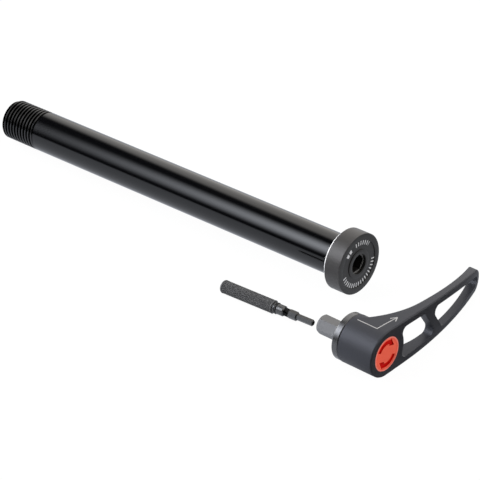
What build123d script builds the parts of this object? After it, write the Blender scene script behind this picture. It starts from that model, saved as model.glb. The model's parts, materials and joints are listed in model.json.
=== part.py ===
from build123d import *
import math
import os

# Bicycle thru axle, 15 mm, with its plug-in ratchet lever and its small tool, all lying on one floor.
# Millimetres, +Z up. The origin is on the axle's axis, at the seat face under its head.
# The axle's head end is towards +X. The lever's arm points along +Y.

# Axle: a hollow turned shank with a head at one end and a thread cut into it at the other
SHANK_D = 15.0
UNDER_HEAD_L = 158.0
END_CHAMFER = 0.3
THREAD_L = 16.0
THREAD_TAPER = 0.06
THREAD_PITCH = 1.5
THREAD_CREST_W = 0.19
THREAD_ROOT_W = 0.25
THREAD_FLANK_ANGLE = 30.0
AXLE_BORE_D = 9.6
HEAD_D = 22.4
HEAD_T = 7.2
HEAD_REAR_CHAMFER = 1.0
HEAD_FRONT_CHAMFER = 0.2
FACE_RIM_W = 1.2
FACE_BOSS_D = 10.8
FACE_CHANNEL_DEPTH = 0.25

# Hexagon drive: the plug of the lever goes into the socket of the axle
HEX_AF = 6.0
HEX_CLEARANCE = 0.1
SOCKET_DEPTH = 9.0
SOCKET_LEAD_D = 7.4
SOCKET_LEAD_DEPTH = 1.2
SOCKET_CONE_ANGLE = 30.0

# Lever barrel: outer face at the cap, mouth at the collar
BARREL_D = 17.0
BARREL_L = 14.0
CAP_D = 12.3
CAP_T = 1.5
CHAMBER_D = 10.4
WEB_T = 1.2
RATCHET_POCKET_D = 13.8
RATCHET_POCKET_DEPTH = 4.2

# Lever arm: straight lower edge, arched upper edge, rounded tip, bowed towards the wheel
ARM_L = 63.0
ARM_TIP_R = 4.3
ARM_FLAT_MARGIN = 0.5
ARM_OUTER_R = 166.0
ARM_NECK_Y = 22.0
ARM_NECK_T = 3.7
ARM_INNER_R = 100.0
ARM_ROOT_GAP = 0.7
LEVER_EDGE_R = 0.5

# Windows through the arm, either side of a slanted web
RAIL_W = 2.3
WINDOW_HUB_GAP = 0.4
WINDOW_CORNER_R = 2.2
ARM_WEB_W = 3.2
ARM_WEB_Y = 26.0
ARM_WEB_SLANT = 34.0

# Ratchet: straight teeth in the barrel's ring and on the plug
TEETH = 24
TOOTH_RING_L = 2.8
TOOTH_TIP_D = 11.5
TOOTH_HEIGHT = 0.6
TOOTH_CLEARANCE = 0.12
TOOTH_LAND = 0.42
PRESS_GAP = 0.02

# Plug: hexagon, collar, teeth and stem
COLLAR_D = 16.8
COLLAR_T = 2.4
COLLAR_EDGE_R = 0.3
COLLAR_GAP = 0.25
HEX_L = 10.7
HEX_END_CHAMFER = 0.5
STEM_D = 6.4
STEM_CLEARANCE = 0.05
SPIGOT_D = 4.0
TOOL_BORE_D = 4.1
TOOL_BORE_DEPTH = 17.4
END_PLAY = 0.1

# Spring, its seat and the retaining screw behind the cap
SPRING_WIRE_D = 0.6
SPRING_TURNS = 2.5
SPRING_WALL_GAP = 0.5
SEAT_T = 0.6
SEAT_WALL_GAP = 0.3
SCREW_HEAD_D = 5.8
SCREW_HEAD_T = 0.9
SCREW_D = 3.0
SCREW_L = 3.2
SCREW_HEX_AF = 2.0
SCREW_HEX_DEPTH = 0.6
SCREW_CAP_GAP = 0.3

# Cap: a shallow dish with two turning arrows let into it
CAP_RIM_W = 0.45
CAP_FIELD_DEPTH = 0.12
ARROW_DEPTH = 0.55
ARROW_R = 4.2
ARROW_W = 1.7
ARROW_HEAD_W = 2.9
ARROW_TAIL_ANGLE = 154.0
ARROW_NECK_ANGLE = 66.0
ARROW_TIP_ANGLE = 24.0

# Tool: knurled handle, grooved neck with a rubber ring, stepped bit
HANDLE_D = 4.8
HANDLE_L = 22.0
HANDLE_END_R = 0.9
HANDLE_CHAMFER = 0.2
NECK_D = 3.7
NECK_L = 4.4
NECK_END_CHAMFER = 0.35
GROOVE_D = 2.7
GROOVE_W = 1.0
GROOVE_FROM_HANDLE = 0.7
RING_SECTION_D = 0.7
BIT_D = 3.0
BIT_ROUND_L = 2.1
BIT_HEX_AF = 2.8
BIT_HEX_L = 3.3
TIP_HEX_AF = 2.0
TIP_L = 6.4
TIP_CHAMFER = 0.2
BIT_SHANK_D = 2.0
BIT_SHANK_L = 6.0

# Where the lever and the tool lie beside the axle
LEVER_X = 45.35
LEVER_Y = -33.1
TOOL_X = -28.1
TOOL_Y = -30.2
TOOL_YAW = 3.64

# Sizes that follow
shank_r = SHANK_D / 2
thread_end_r = shank_r - THREAD_TAPER
head_r = HEAD_D / 2
barrel_r = BARREL_D / 2
handle_r = HANDLE_D / 2

# The axle rests on the edge behind its head and on the edge at its threaded end
rest_span = HEAD_REAR_CHAMFER + UNDER_HEAD_L - END_CHAMFER
tilt = math.atan2(head_r - thread_end_r, rest_span)
floor_z = HEAD_REAR_CHAMFER * math.sin(tilt) - head_r * math.cos(tilt)

# The turning axis of the lever lies along X, with X = 0 of its own frame at the barrel's outer face
barrel_mouth_x = -BARREL_L
pocket_floor_x = barrel_mouth_x + RATCHET_POCKET_DEPTH
web_outer_x = pocket_floor_x + WEB_T
ring_end_x = pocket_floor_x - TOOTH_RING_L
collar_outer_x = barrel_mouth_x - COLLAR_GAP
collar_inner_x = collar_outer_x - COLLAR_T
hex_end_x = collar_inner_x - HEX_L
screw_top_x = -CAP_T - SCREW_CAP_GAP
spigot_end_x = screw_top_x - SCREW_HEAD_T
stem_end_x = spigot_end_x - SEAT_T - 2 * END_PLAY
seat_inner_x = stem_end_x + END_PLAY

LEVER_AT = Location((LEVER_X, LEVER_Y, floor_z + barrel_r))
TOOL_AT = Location((TOOL_X, TOOL_Y, floor_z + handle_r), (0, 0, TOOL_YAW))
AXLE_AT = Location((0, 0, 0), (0, -math.degrees(tilt), 0))


def disc(x, length, diameter):
    """A round bar along X that starts at x and runs towards +X."""
    return Pos(x, 0, 0) * extrude(Plane.YZ * Circle(diameter / 2), length)


def hex_bar(x, length, across_flats):
    """A hexagon bar along X, with two flats level."""
    return Pos(x, 0, 0) * extrude(Plane.YZ * RegularPolygon(across_flats / 2, 6, major_radius=False), length)


def turned(points):
    """A solid turned about X from its half section, given as (x, radius) points."""
    return revolve(Plane.XZ * make_face(Polyline(*points, close=True)), Axis.X)


def save(solid, place, name):
    """Write a piece at its place on the floor."""
    export_step(place * solid, f"parts/{name}.step")


# Axle
def thread_groove():
    """The helical groove between the thread's crests, run out through the axle's end."""
    flank = math.tan(math.radians(THREAD_FLANK_ANGLE))
    depth = (THREAD_PITCH - THREAD_CREST_W - THREAD_ROOT_W) / 2 / flank
    overreach = THREAD_CREST_W / 4 / flank
    root_half = THREAD_ROOT_W / 2
    mouth_half = root_half + (depth + overreach) * flank
    length = THREAD_PITCH + THREAD_L - mouth_half
    path = Plane.YZ * Helix(pitch=THREAD_PITCH, height=length, radius=shank_r - depth)
    section = Plane(path @ 0, x_dir=(1, 0, 0), z_dir=path % 0) * Polygon(
        (-root_half, 0),
        (root_half, 0),
        (mouth_half, depth + overreach),
        (-mouth_half, depth + overreach),
        align=None,
    )
    return Pos(-UNDER_HEAD_L - THREAD_PITCH, 0, 0) * sweep(section, path=path, is_frenet=True)


def make_axle():
    lead_r = SOCKET_LEAD_D / 2
    bore_r = AXLE_BORE_D / 2
    boss_r = FACE_BOSS_D / 2
    rim_r = head_r - FACE_RIM_W
    channel_x = HEAD_T - FACE_CHANNEL_DEPTH
    socket_end_x = HEAD_T - SOCKET_DEPTH
    core_r = HEX_AF / 4
    cone_x = socket_end_x - (bore_r - core_r) * math.tan(math.radians(SOCKET_CONE_ANGLE))
    body = turned([
        (-UNDER_HEAD_L, bore_r),
        (-UNDER_HEAD_L, thread_end_r - END_CHAMFER),
        (-UNDER_HEAD_L + END_CHAMFER, thread_end_r),
        (-UNDER_HEAD_L + THREAD_L, shank_r),
        (0, shank_r),
        (0, head_r - HEAD_REAR_CHAMFER),
        (HEAD_REAR_CHAMFER, head_r),
        (HEAD_T - HEAD_FRONT_CHAMFER, head_r),
        (HEAD_T, head_r - HEAD_FRONT_CHAMFER),
        (HEAD_T, rim_r),
        (channel_x, rim_r),
        (channel_x, boss_r),
        (HEAD_T, boss_r),
        (HEAD_T, lead_r),
        (HEAD_T - SOCKET_LEAD_DEPTH, lead_r),
        (HEAD_T - SOCKET_LEAD_DEPTH, core_r),
        (socket_end_x, core_r),
        (cone_x, bore_r),
    ])
    socket = hex_bar(socket_end_x, SOCKET_DEPTH, HEX_AF + 2 * HEX_CLEARANCE)
    return body - socket - thread_groove()


# Lever: barrel and windowed arm
def arm_outline():
    """The arm seen along the barrel's axis, as a face in the YZ plane drawn with x = Y and y = Z."""
    tip_y = ARM_L - ARM_TIP_R
    tip_z = ARM_TIP_R - barrel_r
    drop = barrel_r - tip_z
    top_r = (tip_y ** 2 + drop ** 2 - ARM_TIP_R ** 2) / (2 * (drop - ARM_TIP_R))
    top_angle = math.asin(tip_y / (top_r - ARM_TIP_R))

    def on_top(angle):
        return (top_r * math.sin(angle), barrel_r - top_r + top_r * math.cos(angle))

    edge = Line((0, -barrel_r), (tip_y, -barrel_r))
    edge += ThreePointArc((tip_y, -barrel_r), (ARM_L, tip_z), on_top(top_angle))
    edge += ThreePointArc(on_top(top_angle), on_top(top_angle / 2), (0, barrel_r))
    edge += Line((0, barrel_r), (0, -barrel_r))
    return make_face(edge)


def arm_bow():
    """The arm seen from above, as a face drawn with x = X and y = Y."""
    past_tip = ARM_L + ARM_TIP_R
    flat_y = barrel_r + ARM_FLAT_MARGIN

    def bowed(y_start, x_start, radius, y):
        return (x_start - radius + math.sqrt(radius ** 2 - (y - y_start) ** 2), y)

    outer_mid_y = (flat_y + past_tip) / 2
    neck_x = bowed(flat_y, 0, ARM_OUTER_R, ARM_NECK_Y)[0] - ARM_NECK_T
    neck = (neck_x, ARM_NECK_Y)
    inner_mid_y = (ARM_NECK_Y + past_tip) / 2
    outer_tip = bowed(flat_y, 0, ARM_OUTER_R, past_tip)
    inner_tip = bowed(ARM_NECK_Y, neck_x, ARM_INNER_R, past_tip)
    root = (barrel_mouth_x + ARM_ROOT_GAP, 0)
    root_drop = neck_x - root[0]
    root_r = (ARM_NECK_Y ** 2 + root_drop ** 2) / (2 * root_drop)
    edge = Line((0, 0), (0, flat_y))
    edge += ThreePointArc((0, flat_y), bowed(flat_y, 0, ARM_OUTER_R, outer_mid_y), outer_tip)
    edge += Line(outer_tip, inner_tip)
    edge += ThreePointArc(inner_tip, bowed(ARM_NECK_Y, neck_x, ARM_INNER_R, inner_mid_y), neck)
    edge += ThreePointArc(neck, bowed(ARM_NECK_Y, neck_x, root_r, ARM_NECK_Y / 2), root)
    edge += Line(root, (0, 0))
    return make_face(edge)


def arm_windows():
    """The two windows, as one sketch drawn like the arm's outline."""
    inside = offset(arm_outline(), -RAIL_W)
    web = Pos(ARM_WEB_Y, 0) * Rot(0, 0, ARM_WEB_SLANT) * Rectangle(ARM_WEB_W, 4 * BARREL_D)
    openings = inside - Circle(barrel_r + WINDOW_HUB_GAP) - web
    return fillet(openings.vertices(), WINDOW_CORNER_R)


def bow_edges(body):
    """The long edges of the arm's two bowed faces, and the edge round the barrel's outer face."""
    bowed_faces = [
        face for face in body.faces()
        if abs(face.normal_at(face.center()).X) > 0.7 and face.center().X > barrel_mouth_x + LEVER_EDGE_R
    ]
    return ShapeList(bowed_faces).edges().filter_by(Axis.Z, reverse=True)


def make_lever():
    depth = 2 * BARREL_L
    outline = Pos(-depth, 0, 0) * extrude(Plane.YZ * arm_outline(), depth)
    bow = extrude(arm_bow(), BARREL_D, both=True)
    arm = outline & bow
    body = disc(barrel_mouth_x, BARREL_L, BARREL_D) + arm
    body = fillet(bow_edges(body), LEVER_EDGE_R)
    body -= Pos(-depth, 0, 0) * extrude(Plane.YZ * arm_windows(), depth)
    body -= disc(-CAP_T, CAP_T, CAP_D)
    body -= disc(web_outer_x, -CAP_T - web_outer_x, CHAMBER_D)
    body -= disc(pocket_floor_x, WEB_T, STEM_D + 2 * STEM_CLEARANCE)
    body -= disc(barrel_mouth_x, RATCHET_POCKET_DEPTH, RATCHET_POCKET_D)
    return body


# Ratchet teeth
def tooth_wheel(swell=0.0):
    """A wheel with straight flanked teeth, as a face in the YZ plane, swollen all round by a clearance."""
    step = 360 / TEETH
    tip_d = TOOTH_TIP_D + 2 * swell
    root_d = TOOTH_TIP_D - 2 * TOOTH_HEIGHT + 2 * swell
    tip_half = math.degrees((TOOTH_LAND + 2 * swell) / tip_d)
    root_half = step / 2 - math.degrees((TOOTH_LAND - 2 * swell) / root_d)
    points = []
    for index in range(TEETH):
        middle = index * step
        for radius, angle in (
            (root_d / 2, middle - root_half),
            (tip_d / 2, middle - tip_half),
            (tip_d / 2, middle + tip_half),
            (root_d / 2, middle + root_half),
        ):
            points.append((radius * math.cos(math.radians(angle)), radius * math.sin(math.radians(angle))))
    return make_face(Polyline(*points, close=True))


def make_ratchet_ring():
    gap = tooth_wheel(TOOTH_CLEARANCE)
    blank = disc(ring_end_x, TOOTH_RING_L, RATCHET_POCKET_D - 2 * PRESS_GAP)
    return blank - Pos(ring_end_x, 0, 0) * extrude(Plane.YZ * gap, TOOTH_RING_L)


def make_plug():
    root_d = TOOTH_TIP_D - 2 * TOOTH_HEIGHT
    teeth_end_x = pocket_floor_x - COLLAR_GAP
    hexagon = hex_bar(hex_end_x, HEX_L, HEX_AF)
    end_cone = turned([
        (hex_end_x, 0),
        (hex_end_x, HEX_AF / 2),
        (hex_end_x + HEX_END_CHAMFER, HEX_AF / 2 + HEX_END_CHAMFER),
        (collar_inner_x, HEX_AF / 2 + HEX_END_CHAMFER),
        (collar_inner_x, 0),
    ])
    collar = disc(collar_inner_x, COLLAR_T, COLLAR_D)
    collar = fillet(collar.edges(), COLLAR_EDGE_R)
    neck = disc(collar_outer_x, ring_end_x - collar_outer_x, root_d)
    teeth = Pos(ring_end_x, 0, 0) * extrude(Plane.YZ * tooth_wheel(), teeth_end_x - ring_end_x)
    stem = disc(teeth_end_x, stem_end_x - teeth_end_x, STEM_D)
    spigot = disc(stem_end_x, spigot_end_x - stem_end_x, SPIGOT_D)
    body = (hexagon & end_cone) + collar + neck + teeth + stem + spigot
    body -= disc(hex_end_x, TOOL_BORE_DEPTH, TOOL_BORE_D)
    return body - disc(spigot_end_x - SCREW_L, SCREW_L, SCREW_D)


# Spring, seat and screw
def make_spring():
    wire_r = SPRING_WIRE_D / 2
    coil_r = CHAMBER_D / 2 - SPRING_WALL_GAP - wire_r
    start_x = web_outer_x + wire_r
    length = seat_inner_x - wire_r - start_x
    path = Plane.YZ * Helix(pitch=length / SPRING_TURNS, height=length, radius=coil_r)
    section = Plane(path @ 0, z_dir=path % 0) * Circle(wire_r)
    return Pos(start_x, 0, 0) * sweep(section, path=path, is_frenet=True)


def make_spring_seat():
    blank = disc(seat_inner_x, SEAT_T, CHAMBER_D - 2 * SEAT_WALL_GAP)
    return blank - disc(seat_inner_x, SEAT_T, SPIGOT_D + 2 * STEM_CLEARANCE)


def make_retaining_screw():
    head = disc(spigot_end_x, SCREW_HEAD_T, SCREW_HEAD_D)
    shank = disc(spigot_end_x - SCREW_L, SCREW_L, SCREW_D - 2 * PRESS_GAP)
    recess = hex_bar(screw_top_x - SCREW_HEX_DEPTH, SCREW_HEX_DEPTH, SCREW_HEX_AF)
    return head + shank - recess


# Cap
def arrow():
    """A turning arrow over the top of the cap, as a face with x = Y and y = Z."""
    def at(radius, angle):
        return (radius * math.cos(math.radians(angle)), radius * math.sin(math.radians(angle)))

    inner_r = ARROW_R - ARROW_W / 2
    outer_r = ARROW_R + ARROW_W / 2
    middle = (ARROW_TAIL_ANGLE + ARROW_NECK_ANGLE) / 2
    edge = ThreePointArc(at(outer_r, ARROW_TAIL_ANGLE), at(outer_r, middle), at(outer_r, ARROW_NECK_ANGLE))
    edge += Polyline(
        at(outer_r, ARROW_NECK_ANGLE),
        at(ARROW_R + ARROW_HEAD_W / 2, ARROW_NECK_ANGLE),
        at(ARROW_R, ARROW_TIP_ANGLE),
        at(ARROW_R - ARROW_HEAD_W / 2, ARROW_NECK_ANGLE),
        at(inner_r, ARROW_NECK_ANGLE),
    )
    edge += ThreePointArc(at(inner_r, ARROW_NECK_ANGLE), at(inner_r, middle), at(inner_r, ARROW_TAIL_ANGLE))
    edge += Line(at(inner_r, ARROW_TAIL_ANGLE), at(outer_r, ARROW_TAIL_ANGLE))
    return make_face(edge)


def make_end_cap():
    cap_d = CAP_D - 2 * PRESS_GAP
    body = disc(-CAP_T, CAP_T, cap_d)
    body -= disc(-CAP_FIELD_DEPTH, CAP_FIELD_DEPTH, cap_d - 2 * CAP_RIM_W)
    recess = Pos(-ARROW_DEPTH, 0, 0) * extrude(Plane.YZ * arrow(), ARROW_DEPTH)
    return body - recess - Rot(180, 0, 0) * recess


# Tool, along X from the handle's end
def make_tool_handle():
    neck_end = HANDLE_L + NECK_L
    groove_x = HANDLE_L + GROOVE_FROM_HANDLE
    body = turned([
        (0, 0),
        (0, handle_r),
        (HANDLE_L - HANDLE_CHAMFER, handle_r),
        (HANDLE_L, handle_r - HANDLE_CHAMFER),
        (HANDLE_L, NECK_D / 2),
        (groove_x, NECK_D / 2),
        (groove_x, GROOVE_D / 2),
        (groove_x + GROOVE_W, GROOVE_D / 2),
        (groove_x + GROOVE_W, NECK_D / 2),
        (neck_end - NECK_END_CHAMFER, NECK_D / 2),
        (neck_end, NECK_D / 2 - NECK_END_CHAMFER),
        (neck_end, 0),
    ])
    outer_end = body.edges().filter_by(GeomType.CIRCLE).sort_by(Axis.X)[0]
    body = fillet(outer_end, HANDLE_END_R)
    return body - disc(neck_end - BIT_SHANK_L, BIT_SHANK_L, BIT_SHANK_D)


def make_tool_o_ring():
    middle_x = HANDLE_L + GROOVE_FROM_HANDLE + GROOVE_W / 2
    ring_r = GROOVE_D / 2 + PRESS_GAP + RING_SECTION_D / 2
    return Pos(middle_x, 0, 0) * Rot(0, 90, 0) * Torus(ring_r, RING_SECTION_D / 2)


def make_tool_bit():
    start = HANDLE_L + NECK_L
    hex_start = start + BIT_ROUND_L
    tip_start = hex_start + BIT_HEX_L
    shank = disc(start - BIT_SHANK_L, BIT_SHANK_L, BIT_SHANK_D - 2 * PRESS_GAP)
    collar = disc(start, BIT_ROUND_L, BIT_D)
    step = hex_bar(hex_start, BIT_HEX_L, BIT_HEX_AF)
    tip = hex_bar(tip_start, TIP_L, TIP_HEX_AF)
    tip_end = tip.faces().sort_by(Axis.X)[-1]
    tip = chamfer(tip_end.edges(), TIP_CHAMFER)
    return shank + collar + step + tip


os.makedirs("parts", exist_ok=True)
save(make_axle(), AXLE_AT, "axle")
save(make_lever(), LEVER_AT, "lever")
save(make_ratchet_ring(), LEVER_AT, "ratchet_ring")
save(make_plug(), LEVER_AT, "plug")
save(make_spring(), LEVER_AT, "spring")
save(make_spring_seat(), LEVER_AT, "spring_seat")
save(make_retaining_screw(), LEVER_AT, "retaining_screw")
save(make_end_cap(), LEVER_AT, "end_cap")
save(make_tool_handle(), TOOL_AT, "tool_handle")
save(make_tool_o_ring(), TOOL_AT, "tool_o_ring")
save(make_tool_bit(), TOOL_AT, "tool_bit")
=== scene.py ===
import json
import math

import bmesh
import bpy
from mathutils import Matrix, Vector


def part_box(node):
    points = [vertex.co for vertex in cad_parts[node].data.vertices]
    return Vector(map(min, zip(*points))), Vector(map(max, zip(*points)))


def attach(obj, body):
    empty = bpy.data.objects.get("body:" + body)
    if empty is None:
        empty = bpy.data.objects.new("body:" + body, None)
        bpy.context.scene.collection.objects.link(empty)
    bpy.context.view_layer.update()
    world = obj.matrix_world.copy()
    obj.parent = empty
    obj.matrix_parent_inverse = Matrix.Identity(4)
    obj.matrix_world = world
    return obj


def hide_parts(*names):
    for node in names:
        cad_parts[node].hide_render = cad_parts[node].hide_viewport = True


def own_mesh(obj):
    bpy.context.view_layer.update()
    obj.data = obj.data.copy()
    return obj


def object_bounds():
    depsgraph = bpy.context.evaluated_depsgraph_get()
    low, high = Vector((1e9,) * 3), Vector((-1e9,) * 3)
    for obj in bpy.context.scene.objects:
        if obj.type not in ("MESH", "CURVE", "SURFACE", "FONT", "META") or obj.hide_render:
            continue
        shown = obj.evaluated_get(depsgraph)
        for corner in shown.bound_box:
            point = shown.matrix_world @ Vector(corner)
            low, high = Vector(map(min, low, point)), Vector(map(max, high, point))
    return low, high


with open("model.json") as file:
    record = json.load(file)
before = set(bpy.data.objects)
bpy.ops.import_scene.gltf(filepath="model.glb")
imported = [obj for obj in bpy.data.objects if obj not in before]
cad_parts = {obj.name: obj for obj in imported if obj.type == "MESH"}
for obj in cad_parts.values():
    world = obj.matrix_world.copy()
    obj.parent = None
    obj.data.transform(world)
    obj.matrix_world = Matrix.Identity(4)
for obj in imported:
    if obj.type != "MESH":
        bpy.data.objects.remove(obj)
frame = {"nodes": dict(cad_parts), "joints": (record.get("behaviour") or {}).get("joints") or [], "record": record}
cad_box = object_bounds()
nodes = frame["nodes"]
mounts = {mount["name"]: mount for mount in frame["record"]["mounts"]}

# Axle: a hollow aluminium bar, turned in one piece with its head, threaded at one end and anodised black.
# The head keeps a satin skin with printed ticks, the shank is polished before anodising, and the edge
# behind the head is cut bright after it. The edge's near-white tone is partly that bare metal and partly a
# painted highlight. Millimetres from the head's seat, and degrees round the axle.
MM = 0.001
NEAR = 0.001
SHARP_ANGLE = math.radians(32)
EDGE_SEGMENTS = 3
AXLE_STEPS = 96
HEAD_REAR_EDGE = 1.0
HEAD_FRONT_EDGE = 0.1
FACE_EDGE = 0.1
RIM_W = 2.4
RIM_DROP = 0.1
BOSS_R = 5.4
CHANNEL_DEPTH = 0.25
LEAD_R = 3.7
LEAD_DEPTH = 1.2
SOCKET_FLAT_R = 3.1
SOCKET_CORE_R = 1.5
SOCKET_DEPTH = 9.0
THREAD_PITCH = 1.5
THREAD_CREST_W = 0.3
THREAD_ROOT_W = 0.2
THREAD_DEPTH = 0.87
THREAD_START = 0.25
THREAD_TAPER = 0.06
THREAD_RUNOUT = 1.1
SPARE_TURNS = 2
END_EDGE = 0.3
BORE_EDGE = 0.3
MARK_INNER_R = 7.1
MARK_OUTER_R = 8.7
MARK_R_SOFT = 0.06
MARK_STEP = 9.0
MARK_HALF_W = 1.5
MARK_W_SOFT = 0.3
ARC_SOFT = 0.3
FINE_MARKS = (-167, -7), (45, 105)
BOLD_MARKS = (118, 127), (131, 140)
MARK_WHITE = (0.75, 0.75, 0.75, 1)
SHANK_BLACK = (0.0012, 0.0013, 0.002, 1)
FACE_TONES = (0.022, 0.021, 0.02, 1), (0.032, 0.031, 0.03, 1)
# The side tones are a lighter copy of the face tones: painted light on the head's side.
SIDE_PAINTED_LIGHT_TONES = (0.07, 0.067, 0.066, 1), (0.086, 0.083, 0.082, 1)
SIDE_DEPTH = 0.25
# The socket lip's light tone is a painted highlight.
LIP_PAINTED_HIGHLIGHT = (0.3, 0.3, 0.3, 1)
LIP_HALF_W = 0.05
LIP_SOFT = 0.02
# The cut edge's tones are near white: partly bare aluminium, partly a painted highlight.
BARE_EDGE_AND_HIGHLIGHT_TONES = (0.9, 0.9, 0.9, 1), (0.96, 0.96, 0.96, 1)
CREST_TONE = (0.009, 0.009, 0.01, 1)
# The groove tone is painted shade between the thread's crests.
GROOVE_PAINTED_SHADE = (0.001, 0.001, 0.001, 1)
CREST_SKIN = 0.1
FLANK_DEPTH = 0.25
BORE_TONES = (0.01, 0.01, 0.011, 1), (0.025, 0.025, 0.026, 1)
shank_r = mounts["shank"]["dims"]["r_mm"]
bore_r = mounts["axle_bore"]["dims"]["r_mm"]
thread_l = mounts["thread"]["dims"]["length_mm"]
axle_end_x = -Vector(mounts["thread"]["pos_m"]).length / MM
thread_end_x = axle_end_x + thread_l
bore_end_x = axle_end_x + mounts["axle_bore"]["dims"]["length_mm"]
head_t = Vector(mounts["hex_socket"]["pos_m"]).length / MM
head_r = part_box("axle")[1].y / MM
axle_axis = -Vector(mounts["shank"]["axis"])
axle_turn = Vector((1, 0, 0)).rotation_difference(axle_axis)
axle_place = axle_turn.to_matrix().to_4x4() @ Matrix.Scale(MM, 4)


class Wire:
    """One output socket of a node tree. Arithmetic on wires adds the Math nodes that work it out."""

    def __init__(self, tree, socket=None):
        self.tree = tree
        self.socket = socket

    def node(self, kind, settings, sockets, output=0):
        """Add a node of any kind: its settings first, then the values or wires of its sockets."""
        node = self.tree.nodes.new("ShaderNode" + kind)
        for name, value in settings.items():
            setattr(node, name, value)
        for key, value in sockets.items():
            self.feed(value, node.inputs[key])
        return Wire(self.tree, node.outputs[output] if node.outputs else None)

    def feed(self, value, socket):
        """Give a socket a plain value or the end of a wire."""
        if isinstance(value, Wire):
            self.tree.links.new(value.socket, socket)
        else:
            socket.default_value = value

    def parts(self):
        """The x, y and z of a vector wire."""
        split = self.node("SeparateXYZ", {}, {0: self}).socket.node
        return [Wire(self.tree, output) for output in split.outputs]

    def off_axis(self):
        """The distance of a vector wire's point from the X axis."""
        _, y, z = self.parts()
        return self.math("SQRT", y * y + z * z)

    def math(self, operation, *values):
        return self.node("Math", {"operation": operation}, dict(enumerate(values)))

    def __add__(self, other):
        return self.math("ADD", self, other)

    def __sub__(self, other):
        return self.math("SUBTRACT", self, other)

    def __rsub__(self, other):
        return self.math("SUBTRACT", other, self)

    def __mul__(self, other):
        return self.math("MULTIPLY", self, other)

    def __truediv__(self, other):
        return self.math("DIVIDE", self, other)

    __radd__ = __add__
    __rmul__ = __mul__

    def step(self, start, end):
        """0 before start and 1 after end, with a soft rise between them."""
        kind = {"interpolation_type": "SMOOTHSTEP"}
        return self.node("MapRange", kind, {"Value": self, "From Min": start, "From Max": end})

    def within(self, start, end, soft):
        """1 between two values and 0 outside them, with soft edges."""
        return self.step(start - soft, start + soft) * (1 - self.step(end - soft, end + soft))

    def mix(self, first, second):
        """One colour where this wire is 0 and another where it is 1."""
        return self.node("Mix", {"data_type": "RGBA"}, {0: self, 6: first, 7: second}, 2)


def new_finish(name, **constants):
    """A material with one Principled shader, its constants set on the shader's own sockets."""
    material = bpy.data.materials.new(name)
    material.use_nodes = True
    shader = material.node_tree.nodes["Principled BSDF"]
    for socket, value in constants.items():
        shader.inputs[socket.replace("_", " ")].default_value = value
    return material, shader.inputs, Wire(material.node_tree)


def own_point(wire, place):
    """The surface point in a piece's own millimetres, with its axis along X."""
    shift, turn, scale = place.decompose()
    sockets = {
        "Vector": wire.node("TexCoord", {}, {}, "Object"),
        "Location": shift,
        "Rotation": turn.to_euler(),
        "Scale": scale,
    }
    return wire.node("Mapping", {"vector_type": "TEXTURE"}, sockets)


def turned(points, steps):
    """Spin a half section, given as (x, radius) points, round the X axis."""
    bm = bmesh.new()
    section = [bm.verts.new((x, 0, radius)) for x, radius in points]
    edges = [bm.edges.new(pair) for pair in zip(section, section[1:])]
    bmesh.ops.spin(
        bm, geom=section + edges, axis=(1, 0, 0), cent=(0, 0, 0),
        angle=math.tau, steps=steps, use_merge=True,
    )
    bmesh.ops.remove_doubles(bm, verts=bm.verts, dist=NEAR)
    return bm


def from_axis(vert):
    return math.hypot(vert.co.y, vert.co.z)


def set_radius(vert, radius):
    scale = radius / from_axis(vert)
    vert.co.y *= scale
    vert.co.z *= scale


def square_off(vert):
    """Move a vertex out from a hexagon's inner circle to its nearest flat."""
    off_flat = math.degrees(math.atan2(vert.co.y, vert.co.z)) % 60
    set_radius(vert, from_axis(vert) / math.cos(math.radians(min(off_flat, 60 - off_flat))))


def round_rings(bm, corners, width):
    """Round the edges that run round the axis at some corners of the section."""
    def on_ring(vert, x, radius):
        return abs(vert.co.x - x) < NEAR and abs(from_axis(vert) - radius) < NEAR

    edges = [
        edge for x, radius in corners for edge in bm.edges
        if all(on_ring(vert, x, radius) for vert in edge.verts)
    ]
    bmesh.ops.bevel(
        bm, geom=edges, offset=width, affect="EDGES", segments=EDGE_SEGMENTS, profile=0.5, material=-1,
    )


def finished(bm, name, place, *materials):
    """Put a shaped mesh at its place in the frame, smooth except at its sharp edges."""
    bmesh.ops.recalc_face_normals(bm, faces=bm.faces)
    bmesh.ops.transform(bm, matrix=place, verts=bm.verts)
    mesh = bpy.data.meshes.new(name)
    bm.to_mesh(mesh)
    bm.free()
    for material in materials:
        mesh.materials.append(material)
    mesh.shade_smooth()
    mesh.set_sharp_from_angle(angle=SHARP_ANGLE)
    piece = bpy.data.objects.new(name, mesh)
    bpy.context.scene.collection.objects.link(piece)
    return piece


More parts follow.
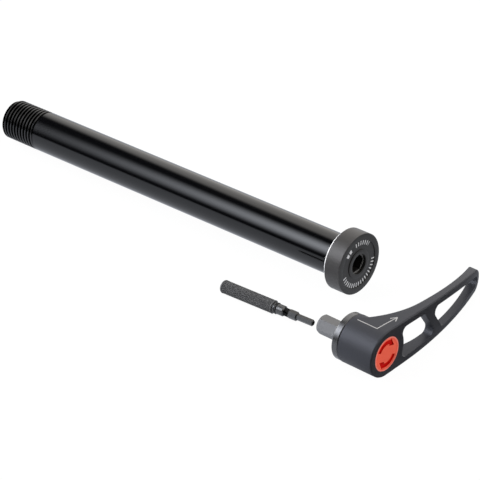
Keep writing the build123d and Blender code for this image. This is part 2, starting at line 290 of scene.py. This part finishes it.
def thread_skin():
    """The thread's outer skin: one pitch of its section, screwed round the axis."""
    bm = bmesh.new()
    root_r = shank_r - THREAD_DEPTH
    crest_start = (THREAD_PITCH - THREAD_CREST_W) / 2
    start_x = axle_end_x + (THREAD_START - SPARE_TURNS) * THREAD_PITCH
    section = [
        bm.verts.new((start_x + along, 0, radius)) for along, radius in (
            (0, root_r),
            (THREAD_ROOT_W / 2, root_r),
            (crest_start, shank_r),
            (crest_start + THREAD_CREST_W, shank_r),
            (THREAD_PITCH - THREAD_ROOT_W / 2, root_r),
            (THREAD_PITCH, root_r),
        )
    ]
    edges = [bm.edges.new(pair) for pair in zip(section, section[1:])]
    turns = math.ceil(thread_l / THREAD_PITCH) + 2 * SPARE_TURNS
    bmesh.ops.spin(
        bm, geom=section + edges, axis=(1, 0, 0), cent=(0, 0, 0), dvec=(THREAD_PITCH / AXLE_STEPS, 0, 0),
        angle=math.tau * turns, steps=AXLE_STEPS * turns,
    )
    bmesh.ops.remove_doubles(bm, verts=bm.verts, dist=NEAR)
    cuts = (
        (axle_end_x, -1, True),
        (axle_end_x + END_EDGE, 1, False),
        (thread_end_x - THREAD_RUNOUT, 1, False),
        (thread_end_x, 1, True),
    )
    for x, side, trims in cuts:
        bmesh.ops.bisect_plane(
            bm, geom=bm.verts[:] + bm.edges[:] + bm.faces[:],
            plane_co=(x, 0, 0), plane_no=(side, 0, 0), clear_outer=trims,
        )
    for vert in bm.verts:
        from_end = vert.co.x - axle_end_x
        to_shank = thread_end_x - vert.co.x
        crest_r = shank_r - THREAD_TAPER * to_shank / thread_l
        radius = min(from_axis(vert), crest_r, shank_r - THREAD_TAPER - END_EDGE + from_end)
        set_radius(vert, shank_r - (shank_r - radius) * min(1, to_shank / THREAD_RUNOUT))
    return bm


socket_end_x = head_t - SOCKET_DEPTH
lead_x = head_t - LEAD_DEPTH
channel_x = head_t - CHANNEL_DEPTH
rim_r = head_r - RIM_W
axle = turned([
    (axle_end_x, bore_r + 2 * BORE_EDGE),
    (axle_end_x, bore_r + BORE_EDGE),
    (axle_end_x + BORE_EDGE, bore_r),
    (bore_end_x, bore_r),
    (socket_end_x, SOCKET_CORE_R),
    (socket_end_x, SOCKET_FLAT_R),
    (lead_x, SOCKET_FLAT_R),
    (lead_x, LEAD_R),
    (head_t, LEAD_R),
    (head_t, BOSS_R),
    (channel_x, BOSS_R),
    (channel_x, rim_r),
    (head_t, rim_r),
    (head_t - RIM_DROP, head_r - HEAD_FRONT_EDGE),
    (head_t - RIM_DROP - HEAD_FRONT_EDGE, head_r),
    (HEAD_REAR_EDGE, head_r),
    (0, head_r - HEAD_REAR_EDGE),
    (0, shank_r),
    (thread_end_x + END_EDGE, shank_r),
], AXLE_STEPS)
for vert in axle.verts:
    if abs(from_axis(vert) - SOCKET_FLAT_R) < NEAR:
        square_off(vert)
round_rings(axle, [(head_t, LEAD_R), (head_t, BOSS_R), (head_t, rim_r)], FACE_EDGE)
thread_mesh = bpy.data.meshes.new("thread_skin")
thread = thread_skin()
thread.to_mesh(thread_mesh)
thread.free()
axle.from_mesh(thread_mesh)
bpy.data.meshes.remove(thread_mesh)
for low_x, high_x in ((axle_end_x, axle_end_x), (thread_end_x, thread_end_x + END_EDGE)):
    open_edges = [
        edge for edge in axle.edges
        if edge.is_boundary and all(low_x - NEAR < vert.co.x < high_x + NEAR for vert in edge.verts)
    ]
    bmesh.ops.bridge_loops(axle, edges=open_edges)
bmesh.ops.remove_doubles(axle, verts=axle.verts, dist=NEAR)
SHANK, HEAD, CUT_EDGE_AND_HIGHLIGHT, THREAD, BORE = range(5)
for face in axle.faces:
    middle = face.calc_center_median()
    radius = math.hypot(middle.y, middle.z)
    if middle.x > HEAD_REAR_EDGE:
        face.material_index = HEAD
    elif middle.x > NEAR:
        face.material_index = CUT_EDGE_AND_HIGHLIGHT
    elif radius < bore_r:
        face.material_index = BORE
    elif middle.x < thread_end_x:
        face.material_index = THREAD

shank_black, shader, wire = new_finish("shank_black", Base_Color=SHANK_BLACK, IOR=1.5)
point = own_point(wire, axle_place)
along = point.parts()[0]
turning = wire.node("TexNoise", {"noise_dimensions": "1D"}, {"W": along, "Scale": 3.0, "Detail": 3.0})
haze = wire.node("TexNoise", {}, {"Vector": point, "Scale": 0.05, "Detail": 2.0})
wire.feed(0.08 + turning * 0.05 + haze * 0.03, shader["Roughness"])

head_satin, shader, wire = new_finish("head_satin", Metallic=0.45, IOR=1.5)
point = own_point(wire, axle_place)
x, y, z = point.parts()
radius = point.off_axis()
grain = wire.node("TexNoise", {}, {"Vector": point, "Scale": 9.0, "Detail": 3.0})
# The turned side is painted about three times lighter than the face: painted light for the light the side catches.
side = radius.step(head_r - SIDE_DEPTH, head_r - HEAD_FRONT_EDGE)
skin = side.mix(grain.mix(*FACE_TONES), grain.mix(*SIDE_PAINTED_LIGHT_TONES))
# A thin light ring on the socket's inner step, a painted highlight inside the recess.
painted_lip_highlight = x.within(lead_x - LIP_HALF_W, lead_x + LIP_HALF_W, LIP_SOFT)
painted_lip_highlight *= 1 - radius.step(LEAD_R, LEAD_R + LIP_HALF_W)
skin = painted_lip_highlight.mix(skin, LIP_PAINTED_HIGHLIGHT)
around = wire.math("ARCTAN2", z, y) * math.degrees(1)
off_tick = wire.math("PINGPONG", around, MARK_STEP / 2)
ticks = 1 - off_tick.step(MARK_HALF_W - MARK_W_SOFT, MARK_HALF_W + MARK_W_SOFT)
fine_marks = sum(around.within(*arc, ARC_SOFT) for arc in FINE_MARKS) * ticks
bold_marks = sum(around.within(*arc, ARC_SOFT) for arc in BOLD_MARKS)
marked = (fine_marks + bold_marks) * radius.within(MARK_INNER_R, MARK_OUTER_R, MARK_R_SOFT)
wire.feed(marked.mix(skin, MARK_WHITE), shader["Base Color"])
wire.feed(0.36 + grain * 0.1, shader["Roughness"])

# The cut edge's near-white tone is partly bare aluminium and partly a painted highlight.
bright_edge, shader, wire = new_finish("bright_edge", Metallic=0.4)
radius = own_point(wire, axle_place).off_axis()
cut = wire.node("TexNoise", {"noise_dimensions": "1D"}, {"W": radius, "Scale": 8.0})
wire.feed(cut.mix(*BARE_EDGE_AND_HIGHLIGHT_TONES), shader["Base Color"])
wire.feed(0.45 + cut * 0.1, shader["Roughness"])

thread_black, shader, wire = new_finish("thread_black", IOR=1.6)
point = own_point(wire, axle_place)
cut = wire.node("TexNoise", {}, {"Vector": point, "Scale": 4.0, "Detail": 2.0})
# The grooves are painted near black and made to mirror nothing: painted shade between the crests.
groove_shade_mask = 1 - point.off_axis().step(shank_r - FLANK_DEPTH, shank_r - CREST_SKIN)
wire.feed(groove_shade_mask.mix(CREST_TONE, GROOVE_PAINTED_SHADE), shader["Base Color"])
wire.feed(groove_shade_mask, shader["Metallic"])
wire.feed(0.1 + cut * 0.08, shader["Roughness"])

bore_dull, shader, wire = new_finish("bore_dull")
along = own_point(wire, axle_place).parts()[0]
drill_rings = wire.node("TexNoise", {"noise_dimensions": "1D"}, {"W": along, "Scale": 1.2, "Detail": 3.0})
wire.feed(drill_rings.mix(*BORE_TONES), shader["Base Color"])
wire.feed(0.45 + drill_rings * 0.15, shader["Roughness"])

finishes = shank_black, head_satin, bright_edge, thread_black, bore_dull
axle = finished(axle, "axle_turned", axle_place, *finishes)
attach(axle, "axle_and_lever")
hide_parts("axle")

# Lever: one aluminium forging, the barrel and the windowed arm together, blasted to an even satin and
# anodised slate grey. A plain white arrow is printed where the arm leaves the barrel. Its own zero point
# is on the turning axis, at the barrel's outer face.
ARROW_W = 0.32
ARROW_SOFT = 0.3
ARROW_TAIL = (-12.0, -0.5)
ARROW_BEND = (-4.0, -0.5)
ARROW_TIP = (-3.2, 9.2)
ARROW_BARBS = (-4.5, 7.2), (-2.2, 7.0)
ARROW_LOWEST = 6.0
ARROW_FADE = 0.5
ARROW_WHITE = (0.6, 0.6, 0.6, 1)
SLATE_TONES = (0.052, 0.054, 0.064, 1), (0.067, 0.07, 0.082, 1)
lever_zero = Vector(next(joint["pos_m"] for joint in frame["joints"] if joint["name"] == "plug_turn"))
lever_place = Matrix.Translation(lever_zero) @ Matrix.Scale(MM, 4)


def stroke(x, y, start, end):
    """1 on a straight line of the printed arrow, between two points, and 0 off it."""
    run = Vector(end) - Vector(start)
    share = ((x - start[0]) * run.x + (y - start[1]) * run.y) / run.length_squared
    held = share.math("MINIMUM", share.math("MAXIMUM", share, 0.0), 1.0)
    off_x = x - start[0] - held * run.x
    off_y = y - start[1] - held * run.y
    off_line = share.math("SQRT", off_x * off_x + off_y * off_y)
    half_w = ARROW_W / 2
    return 1 - off_line.step(half_w * (1 - ARROW_SOFT), half_w * (1 + ARROW_SOFT))


lever_slate, shader, wire = new_finish("lever_slate", Metallic=0.6)
point = own_point(wire, lever_place)
x, y, z = point.parts()
blast = wire.node("TexNoise", {}, {"Vector": point, "Scale": 6.0, "Detail": 4.0})
arrow = stroke(x, y, ARROW_TAIL, ARROW_BEND)
for start, end in [(ARROW_BEND, ARROW_TIP)] + [(ARROW_TIP, barb) for barb in ARROW_BARBS]:
    arrow = wire.math("MAXIMUM", arrow, stroke(x, y, start, end))
arrow *= z.step(ARROW_LOWEST, ARROW_LOWEST + ARROW_FADE)
wire.feed(arrow.mix(blast.mix(*SLATE_TONES), ARROW_WHITE), shader["Base Color"])
wire.feed(0.47 + blast * 0.1, shader["Roughness"])
nodes["lever"].material_slots[0].material = lever_slate

# Plug, ratchet ring, spring seat and screw: steel, turned and milled, bare with a satin brushed skin.
# The plug's hexagon drives the axle, and its collar closes the barrel's mouth over the teeth.
HEXAGON_REACH = 3.6
COLLAR_INNER_R = 4.2
HEXAGON_TONES = (0.15, 0.15, 0.153, 1), (0.21, 0.21, 0.214, 1)
COLLAR_TONE = (0.13, 0.13, 0.133, 1)
plug_steel, shader, wire = new_finish("plug_steel", Metallic=0.8)
point = own_point(wire, lever_place)
along = point.parts()[0]
brushed = wire.node("TexNoise", {"noise_dimensions": "1D"}, {"W": along, "Scale": 5.0, "Detail": 3.0})
collar = point.off_axis().step(HEXAGON_REACH, COLLAR_INNER_R)
wire.feed(collar.mix(brushed.mix(*HEXAGON_TONES), COLLAR_TONE), shader["Base Color"])
wire.feed(0.34 + brushed * 0.12 - collar * 0.14, shader["Roughness"])
for name in ("plug", "ratchet_ring", "spring_seat", "retaining_screw"):
    nodes[name].material_slots[0].material = plug_steel

# Spring: hard drawn steel wire, coiled, between the barrel's web and the spring seat. The real spring
# shortens towards the web when the plug is pulled out; this coil keeps one length.
SPRING_MERGE = 1e-6
WIRE_TONES = (0.4, 0.4, 0.42, 1), (0.5, 0.5, 0.52, 1)
spring_bright, shader, wire = new_finish("spring_bright", Metallic=1.0)
drawn = wire.node("TexNoise", {}, {"Vector": own_point(wire, lever_place), "Scale": 3.0})
wire.feed(drawn.mix(*WIRE_TONES), shader["Base Color"])
wire.feed(0.22 + drawn * 0.1, shader["Roughness"])
coil = bmesh.new()
coil.from_mesh(nodes["spring"].data)
bmesh.ops.remove_doubles(coil, verts=coil.verts, dist=SPRING_MERGE)
coil = finished(coil, "spring_coil", Matrix.Identity(4), spring_bright)
pull = next(joint for joint in frame["joints"] if joint["name"] == "plug_pull")
coil_low, coil_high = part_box("spring")
coil_l = coil_high.x - coil_low.x
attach(coil, "axle_and_lever")
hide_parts("spring")
1 - pull["range_m"][1] / coil_l
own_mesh(coil)

# End cap: red plastic, moulded and pressed into the barrel's outer end.
# Two turning arrows are let into its face, and a thin rim stands round it.
CAP_DISH_R = 5.675
CAP_DISH_SOFT = 0.075
CAP_ARROW_DEPTH = 0.3
CAP_ARROW_SOFT = 0.1
# The field red is partly the plastic's red and partly a painted sheen; the rim red is a painted highlight.
CAP_RED_AND_PAINTED_SHEEN = (0.95, 0.14, 0.084, 1)
CAP_RIM_PAINTED_HIGHLIGHT = (0.95, 0.26, 0.2, 1)
CAP_ARROW_RED = (0.6, 0.003, 0.001, 1)
cap_red, shader, wire = new_finish("cap_red", Specular_IOR_Level=0.1)
point = own_point(wire, lever_place)
flow = wire.node("TexNoise", {}, {"Vector": point, "Scale": 0.6, "Detail": 2.0})
depth = 0 - point.parts()[0]
sunk = depth.step(CAP_ARROW_DEPTH - CAP_ARROW_SOFT, CAP_ARROW_DEPTH + CAP_ARROW_SOFT)
# The field's red is tinted towards salmon as a painted sheen, and the rim is painted pale pink as a painted
# highlight; the sunk arrows are a deeper red.
painted_rim_highlight = point.off_axis().step(CAP_DISH_R - CAP_DISH_SOFT, CAP_DISH_R + CAP_DISH_SOFT)
wire.feed(sunk.mix(painted_rim_highlight.mix(CAP_RED_AND_PAINTED_SHEEN, CAP_RIM_PAINTED_HIGHLIGHT), CAP_ARROW_RED), shader["Base Color"])
wire.feed(0.3 + flow * 0.08, shader["Roughness"])
nodes["end_cap"].material_slots[0].material = cap_red

# Tool handle: a steel rod, turned with a grooved neck, rolled with a fine diamond knurl and blackened.
# Its far end is rounded over, and the neck is drilled for the bit. Millimetres from the handle's end,
# along the tool's own axis, which is placed by the middle of the rubber ring.
TOOL_STEPS = 168
TOOL_YAW = math.radians(3.64)
HANDLE_R = 2.4
HANDLE_L = 22.0
HANDLE_END_R = 0.9
HANDLE_END_STEPS = 8
HANDLE_EDGE = 0.2
NECK_R = 1.85
NECK_END_X = 26.4
NECK_END_EDGE = 0.35
GROOVE_R = 1.35
GROOVE_X = 22.7
GROOVE_W = 1.0
BIT_HOLE_R = 1.0
BIT_HOLE_X = 20.4
KNURL_DIAMONDS = 24
KNURL_PITCH = 0.7
KNURL_DEPTH = 0.22
KNURL_FADE = 0.4
KNURL_STEP = 0.1
KNURL_TONES = (0.085, 0.085, 0.087, 1), (0.115, 0.115, 0.118, 1)
NECK_TONE = (0.12, 0.12, 0.12, 1)
NECK_SOFT = 0.1
ring_low, ring_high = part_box("tool_o_ring")
tool_place = (
    Matrix.Translation((ring_low + ring_high) / 2)
    @ Matrix.Rotation(TOOL_YAW, 4, "Z")
    @ Matrix.Scale(MM, 4)
    @ Matrix.Translation((-GROOVE_X - GROOVE_W / 2, 0, 0))
)
knurl_start = HANDLE_END_R
knurl_end = HANDLE_L - HANDLE_EDGE


def ridge(turns):
    """A saw-tooth ridge: 1 on its crest, at whole turns, and 0 halfway between."""
    return abs(turns % 1 - 0.5) * 2


section = [(0, 0)]
for index in range(HANDLE_END_STEPS + 1):
    angle = math.radians(90 * index / HANDLE_END_STEPS)
    section.append((
        HANDLE_END_R * (1 - math.cos(angle)),
        HANDLE_R - HANDLE_END_R + HANDLE_END_R * math.sin(angle),
    ))
knurl_rings = round((knurl_end - knurl_start) / KNURL_STEP)
for index in range(1, knurl_rings + 1):
    section.append((knurl_start + (knurl_end - knurl_start) * index / knurl_rings, HANDLE_R))
section += [
    (HANDLE_L, HANDLE_R - HANDLE_EDGE),
    (HANDLE_L, NECK_R),
    (GROOVE_X, NECK_R),
    (GROOVE_X, GROOVE_R),
    (GROOVE_X + GROOVE_W, GROOVE_R),
    (GROOVE_X + GROOVE_W, NECK_R),
    (NECK_END_X - NECK_END_EDGE, NECK_R),
    (NECK_END_X, NECK_R - NECK_END_EDGE),
    (NECK_END_X, BIT_HOLE_R),
    (BIT_HOLE_X, BIT_HOLE_R),
    (BIT_HOLE_X, 0),
]
handle = turned(section, TOOL_STEPS)
for vert in handle.verts:
    if vert.co.x < knurl_end + NEAR and abs(from_axis(vert) - HANDLE_R) < NEAR:
        around = KNURL_DIAMONDS * math.atan2(vert.co.y, vert.co.z) / math.tau
        along = vert.co.x / KNURL_PITCH
        diamond = min(ridge(around + along), ridge(around - along))
        fade = min(1, (vert.co.x - knurl_start) / KNURL_FADE, (knurl_end - vert.co.x) / KNURL_FADE)
        set_radius(vert, HANDLE_R - KNURL_DEPTH * (1 - diamond) * max(0, fade))
tool_black, shader, wire = new_finish("tool_black", IOR=1.3)
point = own_point(wire, tool_place)
oxide = wire.node("TexNoise", {}, {"Vector": point, "Scale": 3.0, "Detail": 3.0})
neck = point.parts()[0].step(HANDLE_L - NECK_SOFT, HANDLE_L + NECK_SOFT)
wire.feed(neck.mix(oxide.mix(*KNURL_TONES), NECK_TONE), shader["Base Color"])
wire.feed(neck * 0.7, shader["Metallic"])
wire.feed(0.33 + oxide * 0.12 - neck * 0.08, shader["Roughness"])
handle = finished(handle, "tool_handle_knurled", tool_place, tool_black)
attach(handle, "axle_and_lever")
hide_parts("tool_handle")

# Rubber ring: a moulded nitrile ring, rolled into the neck's groove, which grips in the plug's bore.
# Its skin is matt with a faint bloom.
RUBBER_TONES = (0.012, 0.012, 0.012, 1), (0.02, 0.02, 0.02, 1)
ring_rubber, shader, wire = new_finish("ring_rubber")
bloom = wire.node("TexNoise", {}, {"Vector": own_point(wire, tool_place), "Scale": 4.0})
wire.feed(bloom.mix(*RUBBER_TONES), shader["Base Color"])
wire.feed(0.35 + bloom * 0.15, shader["Roughness"])
nodes["tool_o_ring"].material_slots[0].material = ring_rubber

# Tool bit: a hardened steel pin, pressed into the neck. A short threaded collar, a hexagon step and a
# slim hexagon tip with a small recess in its end follow each other along it.
BIT_STEPS = 96
COLLAR_R = 1.5
COLLAR_END_X = 28.5
COLLAR_PITCH = 0.55
COLLAR_DEPTH = 0.22
COLLAR_RINGS = 30
STEP_FLAT_R = 1.4
STEP_END_X = 31.8
STEP_EDGE = 0.3
TIP_FLAT_R = 1.0
TIP_END_X = 38.2
TIP_EDGE = 0.2
TIP_RECESS_R = 0.65
TIP_RECESS = 0.5
TIP_RECESS_TAPER = 0.8
BIT_SHANK_GAP = 0.02
COLLAR_SOFT = 0.1
STEP_SOFT = 0.05
END_SKIN = 0.03
RECESS_SOFT = 0.05
STEP_TONES = (0.04, 0.04, 0.04, 1), (0.07, 0.07, 0.07, 1)
TIP_TONE = (0.06, 0.06, 0.06, 1)
# The dark tone of the threaded collar, also used as painted shade on the tip's end face and recess.
DARK_COLLAR_AND_END_SHADE = (0.012, 0.012, 0.012, 1)
bit_shank_r = BIT_HOLE_R - BIT_SHANK_GAP
section = [(BIT_HOLE_X, 0), (BIT_HOLE_X, bit_shank_r), (NECK_END_X, bit_shank_r)]
for index in range(COLLAR_RINGS + 1):
    section.append((NECK_END_X + (COLLAR_END_X - NECK_END_X) * index / COLLAR_RINGS, COLLAR_R))
section += [
    (COLLAR_END_X, STEP_FLAT_R),
    (STEP_END_X - STEP_EDGE, STEP_FLAT_R),
    (STEP_END_X, STEP_FLAT_R - STEP_EDGE),
    (STEP_END_X, TIP_FLAT_R),
    (TIP_END_X - TIP_EDGE, TIP_FLAT_R),
    (TIP_END_X, TIP_FLAT_R - TIP_EDGE),
    (TIP_END_X, TIP_RECESS_R),
    (TIP_END_X - TIP_RECESS, TIP_RECESS_R * TIP_RECESS_TAPER),
    (TIP_END_X - TIP_RECESS, 0),
]
bit = turned(section, BIT_STEPS)
for vert in bit.verts:
    radius = from_axis(vert)
    if NECK_END_X - NEAR < vert.co.x < COLLAR_END_X + NEAR and abs(radius - COLLAR_R) < NEAR:
        turns = math.atan2(vert.co.y, vert.co.z) / math.tau + vert.co.x / COLLAR_PITCH
        set_radius(vert, COLLAR_R - COLLAR_DEPTH * (1 - ridge(turns)))
    elif vert.co.x > COLLAR_END_X - NEAR and radius > TIP_FLAT_R - TIP_EDGE - NEAR:
        square_off(vert)
bit_steel, shader, wire = new_finish("bit_steel", Metallic=0.85)
point = own_point(wire, tool_place)
along = point.parts()[0]
ground = wire.node("TexNoise", {}, {"Vector": point, "Scale": 4.0, "Detail": 2.0})
tip = along.step(STEP_END_X - STEP_SOFT, STEP_END_X + STEP_SOFT)
threaded = 1 - along.step(COLLAR_END_X - COLLAR_SOFT, COLLAR_END_X + COLLAR_SOFT)
# The tip's end face and its recess are painted near black as painted shade; the threaded collar takes the same
# dark tone.
end_face_shade = along.step(TIP_END_X - END_SKIN, TIP_END_X - END_SKIN / 3)
recess_shade = 1 - point.off_axis().step(TIP_RECESS_R, TIP_RECESS_R + RECESS_SOFT)
dark = wire.math("MAXIMUM", threaded, wire.math("MAXIMUM", end_face_shade, recess_shade))
wire.feed(dark.mix(tip.mix(ground.mix(*STEP_TONES), TIP_TONE), DARK_COLLAR_AND_END_SHADE), shader["Base Color"])
wire.feed(0.18 + ground * 0.08, shader["Roughness"])
bit = finished(bit, "tool_bit_stepped", tool_place, bit_steel)
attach(bit, "axle_and_lever")
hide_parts("tool_bit")

# Floor: a plain pale table top that everything lies on, painted white and lit so evenly that only a faint
# shadow is left on it. Polished metal mirrors it as a painted pool of light that fades out towards the front
# and the right; beyond the pool its mirror image is black, a painted dark reflection.
FLOOR_HALF = 3.0
FLOOR_PAINT = (0.8, 0.8, 0.8, 1)
FLOOR_WHITE = (1.04, 1.04, 1.04, 1)
FLOOR_LIFT = 0.93
PAINTED_POOL_TONE = (0.77, 0.8, 0.87, 1)
POOL_FRONT = 60.0, 220.0
POOL_RIGHT = 30.0, 55.0
UNLIT = (0, 0, 0, 1)
floor_shape = bmesh.new()
bmesh.ops.create_grid(floor_shape, x_segments=1, y_segments=1, size=FLOOR_HALF)
bmesh.ops.translate(floor_shape, vec=(0, 0, cad_box[0].z), verts=floor_shape.verts)
floor_mesh = bpy.data.meshes.new("floor")
floor_shape.to_mesh(floor_mesh)
floor_shape.free()
floor = bpy.data.objects.new("floor", floor_mesh)
bpy.context.scene.collection.objects.link(floor)
floor_white = bpy.data.materials.new("floor_white")
floor_white.use_nodes = True
floor_white.node_tree.nodes.clear()
wire = Wire(floor_white.node_tree)
seen = wire.node("LightPath", {}, {}, "Is Camera Ray")
mirrored = wire.node("LightPath", {}, {}, "Is Glossy Ray")
through = wire.node("LightPath", {}, {}, "Is Transmission Ray")
x, y, _ = own_point(wire, Matrix.Scale(MM, 4)).parts()
# Glossy rays see a painted pool of light near the pieces and black beyond it: a painted reflection.
off_painted_pool = wire.math("MAXIMUM", (0 - y).step(*POOL_FRONT), x.step(*POOL_RIGHT))
paint = wire.node("BsdfDiffuse", {}, {"Color": FLOOR_PAINT})
glow = mirrored.mix(FLOOR_WHITE, off_painted_pool.mix(PAINTED_POOL_TONE, UNLIT))
white = wire.node("Emission", {}, {"Color": glow, "Strength": 1.0})
lifted = wire.node("MixShader", {}, {0: (seen + through) * FLOOR_LIFT + mirrored, 1: paint, 2: white})
wire.node("OutputMaterial", {}, {"Surface": lifted})
floor_mesh.materials.append(floor_white)

# Studio light: a bright wall behind the axle, one long soft box in front of it, high on the left, and a
# small lamp far on the left that picks out the cut edge behind the head. The camera sees plain white.
STRIP_AIM = (0, -0.711, 0.703)
STRIP_SPREAD = math.radians(39)
STRIP_LEFT = -0.68, -0.5
STRIP_RIGHT = -0.4, -0.25
STRIP_LIGHT = (6.4, 6.65, 7.2, 1)
ROOM_LIGHT = (0.03, 0.03, 0.03, 1)
WALL_AIM = (0.72, 0.594, 0.353)
WALL_EDGE = -0.05, 0.08
WALL_FRONT = -0.35, 0.0
WALL_LIGHT = (1.44, 1.4, 1.35, 1)
WALL_DIM = 0.6
WALL_DIM_SPAN = -0.3, 0.35
WALL_DIM_SOFT = 0.12
LAMP_AIM = (-0.85, -0.35, 0.4)
LAMP_EDGE = 0.85, 0.97
LAMP_RIGHT = -0.85, -0.75
LAMP_LIGHT = (9, 9, 9, 1)
WHITE = (1, 1, 1, 1)
world = bpy.data.worlds.new("studio")
bpy.context.scene.world = world
world.use_nodes = True
world.node_tree.nodes.clear()
wire = Wire(world.node_tree)
towards = wire.node("TexCoord", {}, {}, "Generated")


def facing(direction):
    """How far a ray runs along a direction, from -1 to 1."""
    sockets = {0: towards, 1: Vector(direction).normalized()}
    return wire.node("VectorMath", {"operation": "DOT_PRODUCT"}, sockets, "Value")


x, y, _ = towards.parts()
off_strip = wire.math("ARCCOSINE", facing(STRIP_AIM) / wire.math("SQRT", 1 - x * x))
strip = (1 - off_strip.step(0, STRIP_SPREAD)) * x.step(*STRIP_LEFT) * (1 - x.step(*STRIP_RIGHT))
back_wall = facing(WALL_AIM).step(*WALL_EDGE) * y.step(*WALL_FRONT)
back_wall *= 1 - x.within(*WALL_DIM_SPAN, WALL_DIM_SOFT) * WALL_DIM
lamp = facing(LAMP_AIM).step(*LAMP_EDGE) * (1 - x.step(*LAMP_RIGHT))
front_light = strip.mix(ROOM_LIGHT, STRIP_LIGHT)
side_light = lamp.mix(back_wall.mix(UNLIT, WALL_LIGHT), LAMP_LIGHT)
light = wire.node("VectorMath", {"operation": "ADD"}, {0: front_light, 1: side_light})
seen = wire.node("LightPath", {}, {}, "Is Camera Ray")
sky = wire.node("Background", {}, {"Color": seen.mix(light, WHITE), "Strength": 1.0})
wire.node("OutputWorld", {}, {"Surface": sky})

# Camera: a long lens that looks down on the head end, as the photo does.
# It stands far off, so the axle hardly narrows towards its thread.
AIM = Vector((-22.34, -27.99, 11.10)) * MM
DISTANCE = 900 * MM
AZIMUTH = math.radians(40.80)
ELEVATION = math.radians(31.99)
LENS = 199.4
SENSOR_W = 36
NEAREST_SEEN = 0.01
back = Vector((
    math.sin(AZIMUTH) * math.cos(ELEVATION),
    -math.cos(AZIMUTH) * math.cos(ELEVATION),
    math.sin(ELEVATION),
))
camera = bpy.data.objects.new("camera", bpy.data.cameras.new("camera"))
camera.data.lens = LENS
camera.data.sensor_width = SENSOR_W
camera.data.clip_start = NEAREST_SEEN
camera.location = AIM + back * DISTANCE
camera.rotation_mode = "QUATERNION"
camera.rotation_quaternion = (-back).to_track_quat("-Z", "Y")
bpy.context.scene.collection.objects.link(camera)
bpy.context.scene.camera = camera
bpy.context.scene.view_settings.view_transform = "Standard"
